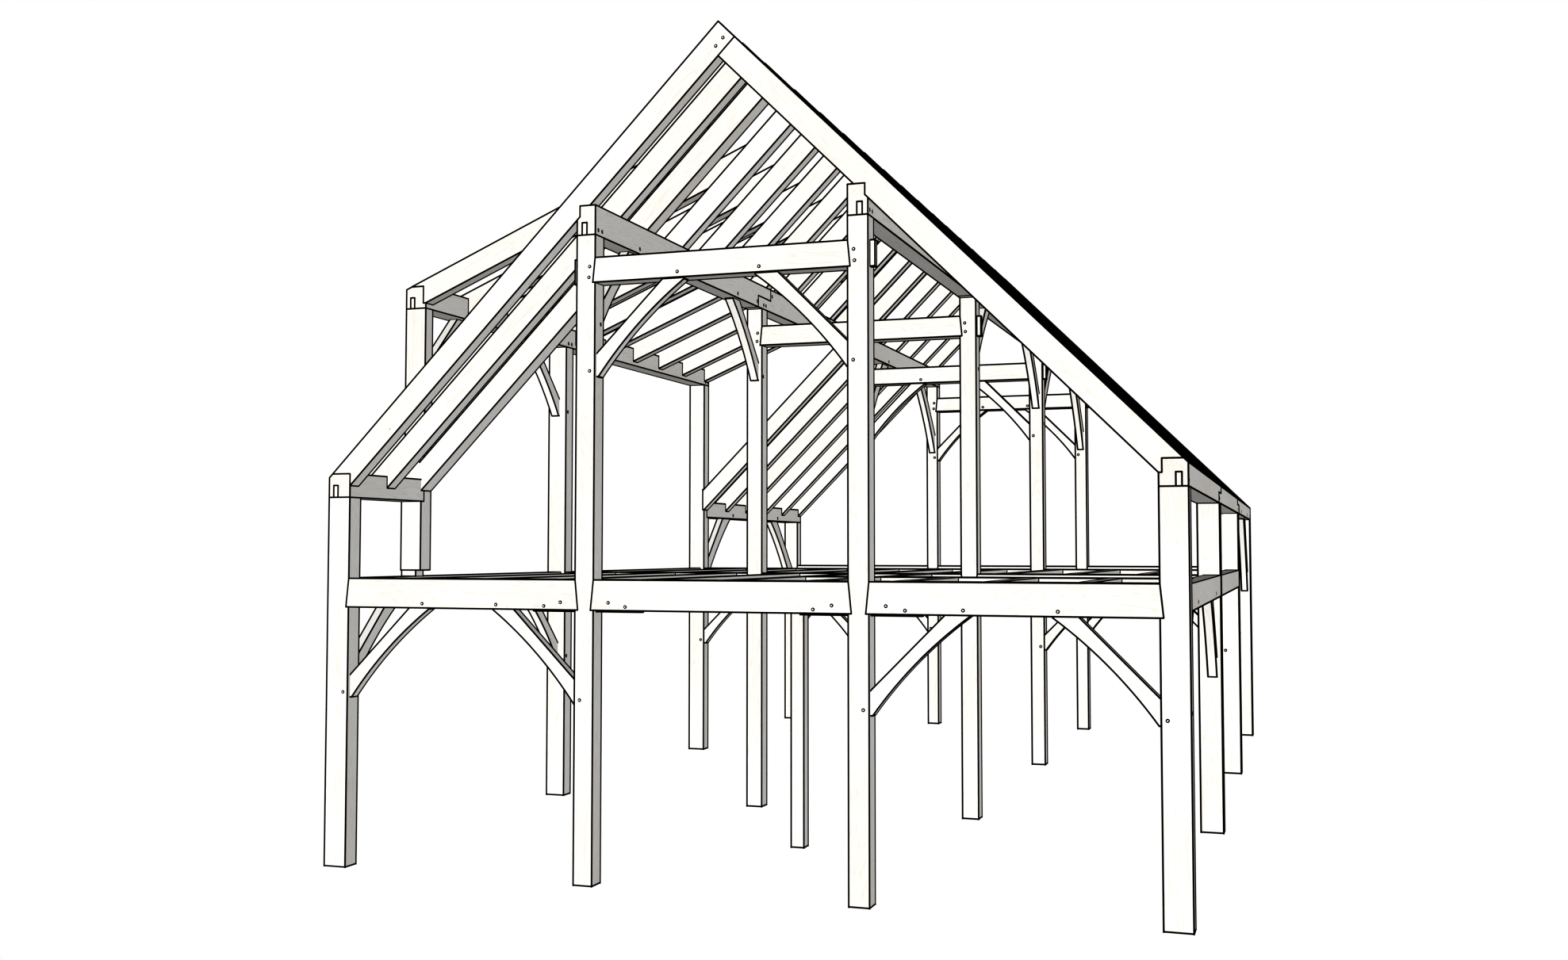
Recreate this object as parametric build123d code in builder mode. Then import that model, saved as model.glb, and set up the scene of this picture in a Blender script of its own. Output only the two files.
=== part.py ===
"""Timber frame of a small storey-and-a-half building: posts, floor, ties, plates and rafters.

All sizes are millimetres. X runs across the building, Y runs from the front bent to the rear
bent and Z is up. The origin lies on the ground at the centre of the footprint.
"""
import os
from math import sqrt

from build123d import *

os.makedirs("parts", exist_ok=True)

# Overall layout
half_width = 4471.0
inner_outer_face = 1537.0
bent_faces = (0.0, 5001.0, 10106.0, 15113.0)
post_depth = 193.0
total_depth = bent_faces[-1] + post_depth
front = -total_depth / 2
fit = 0.4

# Timber sections
eave_post = 258.0
inner_post = 203.0
bent_girt_height = 304.0
row_girt_height = 246.0
tie_height = 252.0
eave_plate_height = 251.0
purlin_height = 302.0
dormer_plate_height = 256.0
rafter_width = 152.0
wide_rafter = 204.0
joist_width = 140.0
joist_height = 200.0
header_width = 150.0
mid_post_width = 150.0

# Heights of the floor, of the walls above it and of the main parts of the roof
floor_top = 3056.0
knee_wall = 866.0
dormer_wall = 2003.0
plate_bevel = 39.0
rafter_rise = 346.0
plate_cover = 141.0
tie_below_plate = 238.0
eave_bottom = floor_top + knee_wall
eave_top = eave_bottom + eave_plate_height
bent_girt_bottom = floor_top - bent_girt_height
row_girt_bottom = floor_top - row_girt_height
joist_bottom = floor_top - joist_height

# Main roof at 45 degrees: heights of the rafter faces above the eave face of the building
top_rise = eave_top - plate_bevel
under_rise = top_rise - rafter_rise
half_rafter = rafter_rise / 2
eave_step = 29.0
purlin_run = half_width - inner_outer_face
purlin_top = under_rise + purlin_run + plate_cover
purlin_bottom = purlin_top - purlin_height
tie_top = purlin_bottom - tie_below_plate
tie_bottom = tie_top - tie_height

# Dormer roof, five in twelve
dormer_slope = 5.0 / 12.0
dormer_bevel = 70.0
dormer_rafter_rise = 275.0
dormer_bottom = eave_top + dormer_wall
dormer_top = dormer_bottom + dormer_plate_height
dormer_top_rise = dormer_top - dormer_bevel * dormer_slope
dormer_under_rise = dormer_top_rise - dormer_rafter_rise

# Places along the building behind the front face
wide_rafter_at = 1380.0
dormer_plate_at = 1438.0
front_rafters = (0.0, 691.0)
dormer_rafter_start = 2385.0
dormer_rafter_pitch = 965.2
dormer_rafters = tuple(dormer_rafter_start + dormer_rafter_pitch * k for k in range(8))
rear_rafter_pitch = (total_depth - rafter_width - bent_faces[2]) / 5
rear_rafters = tuple(bent_faces[2] + rear_rafter_pitch * k for k in range(1, 6))
header_at = 2563.0
mid_post_x = -27.0
joist_pitch = 880.0

# Joints
tenon_thickness = 53.0
tenon_offset = 56.0
post_tenon_height = 127.0
girt_shoulder = 31.0
girt_tenon_length = 110.0
girt_tenon_height = 200.0
row_tenon_length = 90.0
row_tenon_height = 180.0
spline_reach = 600.0
spline_height = 140.0
spline_drop = 16.0
cross_tenon_offset = 62.0
tie_shoulder = 25.0
tie_tenon_reach = 52.0
scarf_length = 488.0
pocket = 38.0
purlin_housing = 30.0
dormer_housing = 29.0
post_housing = 22.0
rear_plate_housing = 70.0
stub_height = 71.0
stub_width = 185.0
stub_setback = 13.0
stub_depth = 152.0
sill_tenon_inset = 20.0
sill_tenon = 100.0

# Braces: legs measured from the corner of post and beam
brace_nib = 22.0
brace_tip = 12.0
brace_tenon = 38.0
brace_tenon_depth = 80.0
small_leg = 724.0
small_foot = 957.0
small_bow = 52.0
large_leg = 952.0
large_foot = 1295.0
large_bow = 72.0
brace_thickness = 102.0
bent_brace_centre = post_depth / 2
wall_brace_centre = 104.0

eave_inner = half_width - eave_post
inner_inner_face = inner_outer_face - inner_post
bents = [front + face for face in bent_faces]
braced_bents = (bents[0], bents[2], bents[3])


def block(x0, x1, y0, y1, z0, z1, mode=Mode.ADD):
    """Square timber, or a mortise of that size, between six planes."""
    with Locations(((x0 + x1) / 2, (y0 + y1) / 2, (z0 + z1) / 2)):
        Box(abs(x1 - x0), abs(y1 - y0), abs(z1 - z0), mode=mode)


def across(points, places, depth, mode=Mode.ADD):
    """Profile in the plane of a bent, repeated at places along the building."""
    with BuildSketch(*[Plane.XZ.offset(-place) for place in places]) as profile:
        with BuildLine():
            Polyline(*points, close=True)
        make_face()
    extrude(profile.sketch, amount=-depth, mode=mode)


def on_side(side, points):
    """Points given as run inside the eave face and height, placed on one side."""
    return [(side * (half_width - run), height) for run, height in points]


def beam_profile(reach, bottom, top, shoulder):
    """Beam between two faces, with slanting shoulders that deepen towards the bottom."""
    left, right = reach
    return (left, top), (left - shoulder, bottom), (right + shoulder, bottom), (right, top)


def corner(x, y, z, direction):
    """Plane of a brace, from the corner of post and beam, with its run along direction."""
    run = Vector(*direction)
    return Plane(origin=(x, y, z), x_dir=run, z_dir=run.cross(Vector(0, 0, 1)))


def bent_corners(x, z, direction):
    """Brace planes at one post and beam corner of every bent that is braced."""
    return [corner(x, bent + bent_brace_centre, z, (direction, 0, 0)) for bent in braced_bents]


def wall_corners(x, start, end, z):
    """Brace planes at both ends of one bay of a side wall."""
    return [corner(x, start, z, (0, 1, 0)), corner(x, end, z, (0, -1, 0))]


def brace_body(planes, leg, foot, bow):
    """Braces with a straight back, a curved inner edge and small nibs at the ends."""
    start = Vector(brace_nib, -foot)
    end = Vector(foot, -brace_tip)
    along = (end - start).normalized()
    middle = (start + end) / 2 + Vector(-along.Y, along.X) * bow
    with BuildSketch(*planes) as outline:
        with BuildLine():
            Polyline((foot, -brace_tip), (foot, 0), (leg, 0), (0, -leg), (0, -foot), start)
            ThreePointArc(start, middle, end)
        make_face()
    extrude(outline.sketch, amount=brace_thickness / 2, both=True)
    brace_tenons(planes, leg, foot, 0)


def brace_tenons(planes, leg, foot, gap, mode=Mode.ADD):
    """Tenons at both ends of the braces, or their mortises when a gap is given."""
    depth = brace_tenon_depth + gap
    overlap = brace_tip - gap
    with BuildSketch(*planes) as outline:
        with BuildLine():
            Polyline((-depth, gap - leg - brace_tip), (-depth, -foot - gap),
                     (overlap, -foot - gap), (overlap, gap - leg - brace_tip), close=True)
        make_face()
        with BuildLine():
            Polyline((leg + brace_tip - gap, -overlap), (leg + brace_tip - gap, depth),
                     (foot + gap, depth), (foot + gap, -overlap), close=True)
        make_face()
    extrude(outline.sketch, amount=brace_tenon / 2 + gap, both=True, mode=mode)


def brace_mortises(planes, leg, foot):
    """Mortises that take the tenons of the braces."""
    brace_tenons(planes, leg, foot, fit, mode=Mode.SUBTRACT)


def row_tenon_faces(side, outer):
    """Two X planes of the tenons on top of one row of posts."""
    first = side * (outer - tenon_offset)
    return first, first - side * tenon_thickness


def posts(side, outer, width, places, top):
    """Square posts of one row, each with a tenon on top as deep as the post."""
    first, second = row_tenon_faces(side, outer)
    for place in places:
        block(side * outer, side * (outer - width), place, place + post_depth, 0, top)
        block(first, second, place, place + post_depth, top - 1, top + post_tenon_height)


def post_mortises(side, outer, places, bottom):
    """Mortises in the underside of a plate for the tenons of one row of posts."""
    first, second = row_tenon_faces(side, outer)
    for place in places:
        block(first + side * fit, second - side * fit, place - fit, place + post_depth + fit,
              bottom - 1, bottom + post_tenon_height + fit, mode=Mode.SUBTRACT)


def girt_tenon(x0, x1, gap, mode=Mode.ADD):
    """Tenons of the bent girts in the eave posts, or their mortises."""
    for bent in bents:
        y0 = bent + cross_tenon_offset
        block(x0, x1, y0 - gap, y0 + tenon_thickness + gap, bent_girt_bottom - gap,
              bent_girt_bottom + girt_tenon_height + gap, mode=mode)


def tie_tenons(x0, x1, gap, mode=Mode.ADD):
    """Through tenons of the upper ties, or their mortises."""
    for bent in bents:
        y0 = bent + cross_tenon_offset
        block(x0, x1, y0 - gap, y0 + tenon_thickness + gap, tie_bottom - gap, tie_top + gap,
              mode=mode)


def splines(side, gap, mode=Mode.ADD):
    """Loose tongues through the inner posts that join the girts on both sides."""
    centre = side * (inner_outer_face - inner_post / 2)
    z0 = bent_girt_bottom - spline_drop
    for bent in bents:
        y0 = bent + cross_tenon_offset
        block(centre - spline_reach - gap, centre + spline_reach + gap, y0 - gap,
              y0 + tenon_thickness + gap, z0 - gap, z0 + spline_height + gap, mode=mode)


def row_girt_tenons(side, start, end, gap, mode=Mode.ADD):
    """Tenons at both ends of one girt in an eave wall, or their mortises."""
    first, second = row_tenon_faces(side, half_width)
    for y0, y1 in ((start - row_tenon_length - gap, start + 1),
                   (end - 1, end + row_tenon_length + gap)):
        block(first + side * gap, second - side * gap, y0, y1, row_girt_bottom - gap,
              row_girt_bottom + row_tenon_height + gap, mode=mode)


def joist_pockets(xs, y0, y1):
    """Pockets for the ends of joists, open at the floor."""
    for x in xs:
        block(x - joist_width / 2 - fit, x + joist_width / 2 + fit, y0, y1, joist_bottom,
              floor_top + 1, mode=Mode.SUBTRACT)


def under(run):
    """Height of the underside of the main rafters."""
    return under_rise + run


def purlin_notch(side, places, width):
    """Housings in a purlin plate, their bottoms sloping with the rafters."""
    inner = purlin_run + purlin_housing
    profile = on_side(side, [(purlin_run - 1, under(purlin_run - 1)), (inner, under(inner)),
                             (inner, purlin_top + 1), (purlin_run - 1, purlin_top + 1)])
    across(profile, [front + place - fit for place in places], width + 2 * fit, Mode.SUBTRACT)


def rafter_profile(side, foot, crown):
    """Main rafter from its foot, over the purlin plate, to its crown."""
    inner = purlin_run + purlin_housing
    over = [(inner, under(inner)), (inner, purlin_top), (purlin_top - under_rise, purlin_top)]
    return on_side(side, foot + over + crown)


def diamond(side, low, high, half):
    """Lozenge at the apex; low and high stretch it along the rafter, half is half its depth."""
    centre = Vector(half_width, top_rise + half_width - half_rafter)
    along = Vector(1, 1) / sqrt(2)
    up = Vector(-1, 1) / sqrt(2)
    points = [centre + along * a + up * b
              for a, b in ((-low, -half), (high, -half), (high, half), (-low, half))]
    return on_side(side, [(point.X, point.Y) for point in points])


def scarf_plate(x0, x1, z0, z1, ends, lower_laps):
    """Plate between two ends, with half laps of the scarf length at its joints."""
    middle = (z0 + z1) / 2
    start, end = ends
    lap_start, lap_end = lower_laps
    half = scarf_length / 2
    body_start = start if lap_start is None else start + half
    body_end = end if lap_end is None else end - half
    block(x0, x1, body_start, body_end, z0, z1)
    if lap_start is not None:
        block(x0, x1, start - half, body_start + 1, z0 if lap_start else middle,
              middle if lap_start else z1)
    if lap_end is not None:
        block(x0, x1, body_end - 1, end + half, z0 if lap_end else middle,
              middle if lap_end else z1)


# Brace positions
left, right = -1, 1
joint_2 = bents[1] + post_depth / 2
joint_3 = bents[2] + post_depth / 2
rear = front + total_depth
bay_1 = (bents[0] + post_depth, bents[1])
bay_2 = (bents[1] + post_depth, bents[2])
bay_3 = (bents[2] + post_depth, bents[3])
dormer_bay = (front + wide_rafter_at + wide_rafter, bents[1])
wall_x = half_width - wall_brace_centre
purlin_x = inner_outer_face - wall_brace_centre

floor_corners = {
    "left_eave": bent_corners(-eave_inner, bent_girt_bottom, 1),
    "left_inner": bent_corners(-inner_outer_face, bent_girt_bottom, -1),
    "right_inner": bent_corners(inner_outer_face, bent_girt_bottom, 1),
    "right_eave": bent_corners(eave_inner, bent_girt_bottom, -1),
}
tie_corners = {
    "left_inner": bent_corners(-inner_inner_face, tie_bottom, 1),
    "right_inner": bent_corners(inner_inner_face, tie_bottom, -1),
}
girt_wall_corners = {side: wall_corners(side * wall_x, *bay_1, row_girt_bottom)
                     for side in (left, right)}
purlin_small_corners = {
    left: wall_corners(-purlin_x, *bay_1, purlin_bottom),
    right: wall_corners(purlin_x, *bay_2, purlin_bottom),
}
purlin_large_corners = {side: wall_corners(side * purlin_x, *bay_3, purlin_bottom)
                        for side in (left, right)}
eave_large_corners = {side: wall_corners(side * wall_x, *bay_3, eave_bottom)
                      for side in (left, right)}
dormer_corners = wall_corners(-wall_x, *dormer_bay, dormer_bottom)

eave_bay_girt = (eave_inner, inner_outer_face)
girt_reaches = {
    "left": (-eave_bay_girt[0], -eave_bay_girt[1]),
    "centre": (-inner_inner_face, inner_inner_face),
    "right": (eave_bay_girt[1], eave_bay_girt[0]),
}
girt_profiles = {name: beam_profile(reach, bent_girt_bottom, floor_top, girt_shoulder)
                 for name, reach in girt_reaches.items()}
tie_profile = beam_profile((-inner_inner_face, inner_inner_face), tie_bottom, tie_top,
                           tie_shoulder)

# Rafter places, measured in the shared frame
full_left = [front + y for y in front_rafters + rear_rafters]
short_left = [front + y for y in dormer_rafters]
post_left = front + wide_rafter_at
post_left_rear = bents[2]
all_narrow = front_rafters + dormer_rafters + (bent_faces[2],) + rear_rafters

# Rafter outlines
seat = under(eave_post)
crown_left = [(half_width + half_rafter, under(half_width + half_rafter)),
              (half_width, top_rise + half_width)]
crown_right = [(half_width, under(half_width)),
               (half_width - half_rafter, top_rise + half_width - half_rafter)]
foot_left = [(plate_bevel, eave_top), (eave_post, eave_top), (eave_post, seat)]
foot_right = [(plate_bevel, eave_top), (eave_post - eave_step, eave_top),
              (eave_post - eave_step, seat), (eave_post, seat)]
foot_post = [(eave_post - post_housing, top_rise + eave_post - post_housing),
             (eave_post - post_housing, seat), (eave_post, seat)]
foot_short = [(purlin_run - half_rafter, top_rise + purlin_run - half_rafter),
              (purlin_run, under(purlin_run))]


def fork(side, places, width):
    """Open slot at the crown of the left rafters for the tongue of the right rafters."""
    slot = width / 3 + 2 * fit
    reach = half_rafter / sqrt(2)
    across(diamond(side, reach + fit, reach + 20, reach + 20),
           [place + (width - slot) / 2 for place in places], slot, Mode.SUBTRACT)


def tongue(side, places, width):
    """Tongue at the crown of the right rafters."""
    reach = half_rafter / sqrt(2)
    across(diamond(side, reach + 20, reach, reach),
           [place + width / 3 for place in places], width / 3)


# Left eave posts of the two end bents
with BuildPart() as left_eave_posts:
    posts(left, half_width, eave_post, (bents[0], bents[3]), eave_bottom)
    across(girt_profiles["left"], (bents[0], bents[3]), post_depth, Mode.SUBTRACT)
    girt_tenon(-eave_inner - girt_tenon_length - fit, -eave_inner, fit, Mode.SUBTRACT)
    row_girt_tenons(left, *bay_1, fit, Mode.SUBTRACT)
    brace_mortises(floor_corners["left_eave"] + girt_wall_corners[left], small_leg, small_foot)
    brace_mortises(eave_large_corners[left], large_leg, large_foot)

# Left posts of the two middle bents, which rise to the dormer plate
with BuildPart() as left_tall_posts:
    posts(left, half_width, eave_post, (bents[1], bents[2]), dormer_bottom)
    across(girt_profiles["left"], (bents[1], bents[2]), post_depth, Mode.SUBTRACT)
    girt_tenon(-eave_inner - girt_tenon_length - fit, -eave_inner, fit, Mode.SUBTRACT)
    row_girt_tenons(left, *bay_1, fit, Mode.SUBTRACT)
    row_girt_tenons(left, *bay_2, fit, Mode.SUBTRACT)
    brace_mortises(floor_corners["left_eave"] + girt_wall_corners[left] + dormer_corners,
                   small_leg, small_foot)
    brace_mortises(eave_large_corners[left], large_leg, large_foot)
    block(-half_width, -eave_inner, bay_3[0] - rear_plate_housing, bay_3[0], eave_bottom,
          eave_top, mode=Mode.SUBTRACT)
    block(-eave_inner - post_housing, -eave_inner, post_left_rear - fit,
          post_left_rear + rafter_width + fit, seat, top_rise + eave_post, mode=Mode.SUBTRACT)

# Dormer post, standing on the wall girt of the first bay
dormer_post_y = (front + wide_rafter_at, front + wide_rafter_at + wide_rafter)
dormer_step_y = front + dormer_plate_at
sill_tenon_y = (dormer_post_y[0] + sill_tenon_inset,
                dormer_post_y[0] + stub_depth - sill_tenon_inset)
with BuildPart() as dormer_post:
    block(-half_width, -eave_inner, *dormer_post_y, floor_top + stub_height, eave_bottom)
    block(-half_width, -eave_inner, dormer_step_y, dormer_post_y[1], eave_bottom, dormer_bottom)
    first, second = row_tenon_faces(left, half_width)
    block(first, second, dormer_step_y, dormer_post_y[1], dormer_bottom,
          dormer_bottom + post_tenon_height)
    block(-half_width + stub_setback, -half_width + stub_setback + stub_width,
          dormer_post_y[0], dormer_post_y[0] + stub_depth, floor_top, floor_top + stub_height)
    block(first, second, *sill_tenon_y, floor_top - sill_tenon, floor_top)
    block(-eave_inner - post_housing, -eave_inner, dormer_post_y[0] - fit,
          dormer_post_y[1] + fit, seat, top_rise + eave_post, mode=Mode.SUBTRACT)
    brace_mortises(dormer_corners, small_leg, small_foot)

# Inner posts that carry the purlin plates
with BuildPart() as left_inner_posts:
    posts(left, inner_outer_face, inner_post, bents, purlin_bottom)
    across(girt_profiles["left"], bents, post_depth, Mode.SUBTRACT)
    across(girt_profiles["centre"], bents, post_depth, Mode.SUBTRACT)
    across(tie_profile, bents, post_depth, Mode.SUBTRACT)
    splines(left, fit, Mode.SUBTRACT)
    tie_tenons(-inner_outer_face - 1, -inner_inner_face, fit, Mode.SUBTRACT)
    brace_mortises(floor_corners["left_inner"] + tie_corners["left_inner"]
                   + purlin_small_corners[left], small_leg, small_foot)
    brace_mortises(purlin_large_corners[left], large_leg, large_foot)

with BuildPart() as right_inner_posts:
    posts(right, inner_outer_face, inner_post, bents, purlin_bottom)
    across(girt_profiles["right"], bents, post_depth, Mode.SUBTRACT)
    across(girt_profiles["centre"], bents, post_depth, Mode.SUBTRACT)
    across(tie_profile, bents, post_depth, Mode.SUBTRACT)
    splines(right, fit, Mode.SUBTRACT)
    tie_tenons(inner_inner_face, inner_outer_face + 1, fit, Mode.SUBTRACT)
    brace_mortises(floor_corners["right_inner"] + tie_corners["right_inner"]
                   + purlin_small_corners[right], small_leg, small_foot)
    brace_mortises(purlin_large_corners[right], large_leg, large_foot)

with BuildPart() as right_eave_posts:
    posts(right, half_width, eave_post, bents, eave_bottom)
    across(girt_profiles["right"], bents, post_depth, Mode.SUBTRACT)
    girt_tenon(eave_inner, eave_inner + girt_tenon_length + fit, fit, Mode.SUBTRACT)
    row_girt_tenons(right, *bay_1, fit, Mode.SUBTRACT)
    row_girt_tenons(right, *bay_2, fit, Mode.SUBTRACT)
    brace_mortises(floor_corners["right_eave"] + girt_wall_corners[right], small_leg, small_foot)
    brace_mortises(eave_large_corners[right], large_leg, large_foot)

with BuildPart() as mid_post:
    block(mid_post_x - mid_post_width / 2, mid_post_x + mid_post_width / 2, front + header_at,
          front + header_at + mid_post_width, 0, joist_bottom)

# Floor girts of the bents
joist_xs = [joist_pitch * k for k in range(-4, 5)]
with BuildPart() as left_bent_girts:
    across(girt_profiles["left"], bents, post_depth)
    girt_tenon(-eave_inner - girt_tenon_length, -eave_inner + 1, 0)
    splines(left, fit, Mode.SUBTRACT)
    brace_mortises(floor_corners["left_eave"] + floor_corners["left_inner"], small_leg,
                   small_foot)
    joist_pockets(joist_xs[:3], bay_1[0] - pocket, bay_1[0])
    joist_pockets(joist_xs[:3], bay_1[1], bay_1[1] + pocket)
    joist_pockets(joist_xs[:3], bay_2[0] - pocket, bay_2[0])
    joist_pockets(joist_xs[:3], bay_2[1], bay_2[1] + pocket)

with BuildPart() as centre_bent_girts:
    across(girt_profiles["centre"], bents, post_depth)
    splines(left, fit, Mode.SUBTRACT)
    splines(right, fit, Mode.SUBTRACT)
    joist_pockets(joist_xs[3:6], bay_1[0] - pocket, bay_1[0])
    joist_pockets(joist_xs[3:6], bay_1[1], bay_1[1] + pocket)
    joist_pockets(joist_xs[3:6], bay_2[0] - pocket, bay_2[0])
    joist_pockets(joist_xs[3:6], bay_2[1], bay_2[1] + pocket)

with BuildPart() as right_bent_girts:
    across(girt_profiles["right"], bents, post_depth)
    girt_tenon(eave_inner - 1, eave_inner + girt_tenon_length, 0)
    splines(right, fit, Mode.SUBTRACT)
    brace_mortises(floor_corners["right_eave"] + floor_corners["right_inner"], small_leg,
                   small_foot)
    joist_pockets(joist_xs[6:], bay_1[0] - pocket, bay_1[0])
    joist_pockets(joist_xs[6:], bay_2[0] - pocket, bay_2[0])
    joist_pockets(joist_xs[6:], bay_2[1], bay_2[1] + pocket)

with BuildPart() as floor_splines:
    splines(left, 0)
    splines(right, 0)

# Floor girts of the eave walls, in the first two bays
row_girt_inner = half_width - post_depth
with BuildPart() as left_wall_girts:
    for bay in (bay_1, bay_2):
        block(-half_width, -row_girt_inner, *bay, row_girt_bottom, floor_top)
        row_girt_tenons(left, *bay, 0)
    brace_mortises(girt_wall_corners[left], small_leg, small_foot)
    block(first - fit, second + fit, sill_tenon_y[0] - fit, sill_tenon_y[1] + fit,
          floor_top - sill_tenon - fit, floor_top + 1, mode=Mode.SUBTRACT)

header_y = (front + header_at, front + header_at + header_width)
with BuildPart() as right_wall_girts:
    for bay in (bay_1, bay_2):
        block(right * half_width, row_girt_inner, *bay, row_girt_bottom, floor_top)
        row_girt_tenons(right, *bay, 0)
    brace_mortises(girt_wall_corners[right], small_leg, small_foot)
    block(row_girt_inner, row_girt_inner + pocket, header_y[0] - fit, header_y[1] + fit,
          joist_bottom, floor_top + 1, mode=Mode.SUBTRACT)

# Floor joists and the header of the stair opening
with BuildPart() as floor_joists:
    for x in joist_xs:
        block(x - joist_width / 2, x + joist_width / 2, bay_2[0] - pocket, bay_2[1] + pocket,
              joist_bottom, floor_top)
    for x in joist_xs[:5]:
        block(x - joist_width / 2, x + joist_width / 2, bay_1[0] - pocket, bay_1[1] + pocket,
              joist_bottom, floor_top)
    for x in joist_xs[5:]:
        block(x - joist_width / 2, x + joist_width / 2, bay_1[0] - pocket, header_y[0] + pocket,
              joist_bottom, floor_top)
    block(joist_xs[5] - joist_width / 2, joist_xs[5] + joist_width / 2, header_y[1] - pocket,
          bay_1[1] + pocket, joist_bottom, floor_top)
    block(joist_width / 2 - pocket, joist_width / 2, header_y[0] - fit, header_y[1] + fit,
          joist_bottom, floor_top, mode=Mode.SUBTRACT)

with BuildPart() as floor_header:
    block(joist_width / 2 - pocket, row_girt_inner + pocket, *header_y, joist_bottom, floor_top)
    joist_pockets(joist_xs[5:], header_y[0], header_y[0] + pocket)
    joist_pockets(joist_xs[5:6], header_y[1] - pocket, header_y[1])

# Upper ties between the inner posts
with BuildPart() as upper_ties:
    across(tie_profile, bents, post_depth)
    tie_tenons(-inner_outer_face - tie_tenon_reach, -inner_inner_face + 1, 0)
    tie_tenons(inner_inner_face - 1, inner_outer_face + tie_tenon_reach, 0)
    brace_mortises(tie_corners["left_inner"] + tie_corners["right_inner"], small_leg, small_foot)

# Braces
with BuildPart() as floor_braces:
    brace_body([plane for planes in floor_corners.values() for plane in planes], small_leg,
               small_foot, small_bow)

with BuildPart() as tie_braces:
    brace_body([plane for planes in tie_corners.values() for plane in planes], small_leg,
               small_foot, small_bow)

with BuildPart() as wall_girt_braces:
    brace_body(girt_wall_corners[left] + girt_wall_corners[right], small_leg, small_foot,
               small_bow)

with BuildPart() as purlin_braces:
    brace_body(purlin_small_corners[left] + purlin_small_corners[right], small_leg, small_foot,
               small_bow)

with BuildPart() as dormer_braces:
    brace_body(dormer_corners, small_leg, small_foot, small_bow)

with BuildPart() as rear_bay_braces:
    brace_body([plane for side in (left, right)
                for plane in purlin_large_corners[side] + eave_large_corners[side]],
               large_leg, large_foot, large_bow)


def bevel_eave(side, y0, y1):
    """Bevel along the outer top edge of an eave plate, in the plane of the roof."""
    across(on_side(side, [(-1, top_rise - 1), (plate_bevel, eave_top), (plate_bevel, eave_top + 5),
                          (-1, eave_top + 5)]), [y0], y1 - y0, Mode.SUBTRACT)


def eave_seats(side, places, width):
    """Housings at the inner top edge of an eave plate for the rafter feet."""
    for place in places:
        block(side * (half_width - eave_post + eave_step), side * eave_inner, place - fit,
              place + width + fit, seat, eave_top, mode=Mode.SUBTRACT)


# Left eave plates, before and behind the dormer
with BuildPart() as left_eave_plates:
    block(-half_width, -eave_inner, front, dormer_step_y, eave_bottom, eave_top)
    block(-half_width, -eave_inner, bay_3[0] - rear_plate_housing, rear, eave_bottom, eave_top)
    post_mortises(left, half_width, (bents[0], bents[3]), eave_bottom)
    brace_mortises(eave_large_corners[left], large_leg, large_foot)
    bevel_eave(left, front, rear)
    block(-eave_inner - post_housing, -eave_inner, post_left - fit, dormer_step_y, seat,
          eave_top, mode=Mode.SUBTRACT)
    block(-eave_inner - post_housing, -eave_inner, bents[2], bents[2] + rafter_width + fit, seat,
          eave_top, mode=Mode.SUBTRACT)

# Right eave plate in three lengths
right_seats = [front + place for place in all_narrow]
with BuildPart() as right_eave_plate_ends:
    scarf_plate(half_width, eave_inner, eave_bottom, eave_top, (front, joint_2), (None, False))
    scarf_plate(half_width, eave_inner, eave_bottom, eave_top, (joint_3, rear), (False, None))
    post_mortises(right, half_width, bents, eave_bottom)
    brace_mortises(eave_large_corners[right], large_leg, large_foot)
    bevel_eave(right, front, rear)
    eave_seats(right, right_seats, rafter_width)
    eave_seats(right, [post_left], wide_rafter)

with BuildPart() as right_eave_plate_middle:
    scarf_plate(half_width, eave_inner, eave_bottom, eave_top, (joint_2, joint_3), (True, True))
    post_mortises(right, half_width, bents[1:3], eave_bottom)
    bevel_eave(right, front, rear)
    eave_seats(right, right_seats, rafter_width)

# Purlin plates, each in three lengths
with BuildPart() as left_purlin_ends:
    scarf_plate(-inner_outer_face, -inner_inner_face, purlin_bottom, purlin_top,
                (front, joint_2), (None, False))
    scarf_plate(-inner_outer_face, -inner_inner_face, purlin_bottom, purlin_top,
                (joint_3, rear), (False, None))
    post_mortises(left, inner_outer_face, bents, purlin_bottom)
    brace_mortises(purlin_small_corners[left], small_leg, small_foot)
    brace_mortises(purlin_large_corners[left], large_leg, large_foot)
    purlin_notch(left, all_narrow, rafter_width)
    purlin_notch(left, [wide_rafter_at], wide_rafter)

with BuildPart() as left_purlin_middle:
    scarf_plate(-inner_outer_face, -inner_inner_face, purlin_bottom, purlin_top,
                (joint_2, joint_3), (True, True))
    post_mortises(left, inner_outer_face, bents[1:3], purlin_bottom)
    purlin_notch(left, all_narrow, rafter_width)

with BuildPart() as right_purlin_ends:
    scarf_plate(inner_outer_face, inner_inner_face, purlin_bottom, purlin_top,
                (front, joint_2), (None, False))
    scarf_plate(inner_outer_face, inner_inner_face, purlin_bottom, purlin_top,
                (joint_3, rear), (False, None))
    post_mortises(right, inner_outer_face, bents, purlin_bottom)
    brace_mortises(purlin_large_corners[right], large_leg, large_foot)
    purlin_notch(right, all_narrow, rafter_width)
    purlin_notch(right, [wide_rafter_at], wide_rafter)

with BuildPart() as right_purlin_middle:
    scarf_plate(inner_outer_face, inner_inner_face, purlin_bottom, purlin_top,
                (joint_2, joint_3), (True, True))
    post_mortises(right, inner_outer_face, bents[1:3], purlin_bottom)
    brace_mortises(purlin_small_corners[right], small_leg, small_foot)
    purlin_notch(right, all_narrow, rafter_width)

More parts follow.
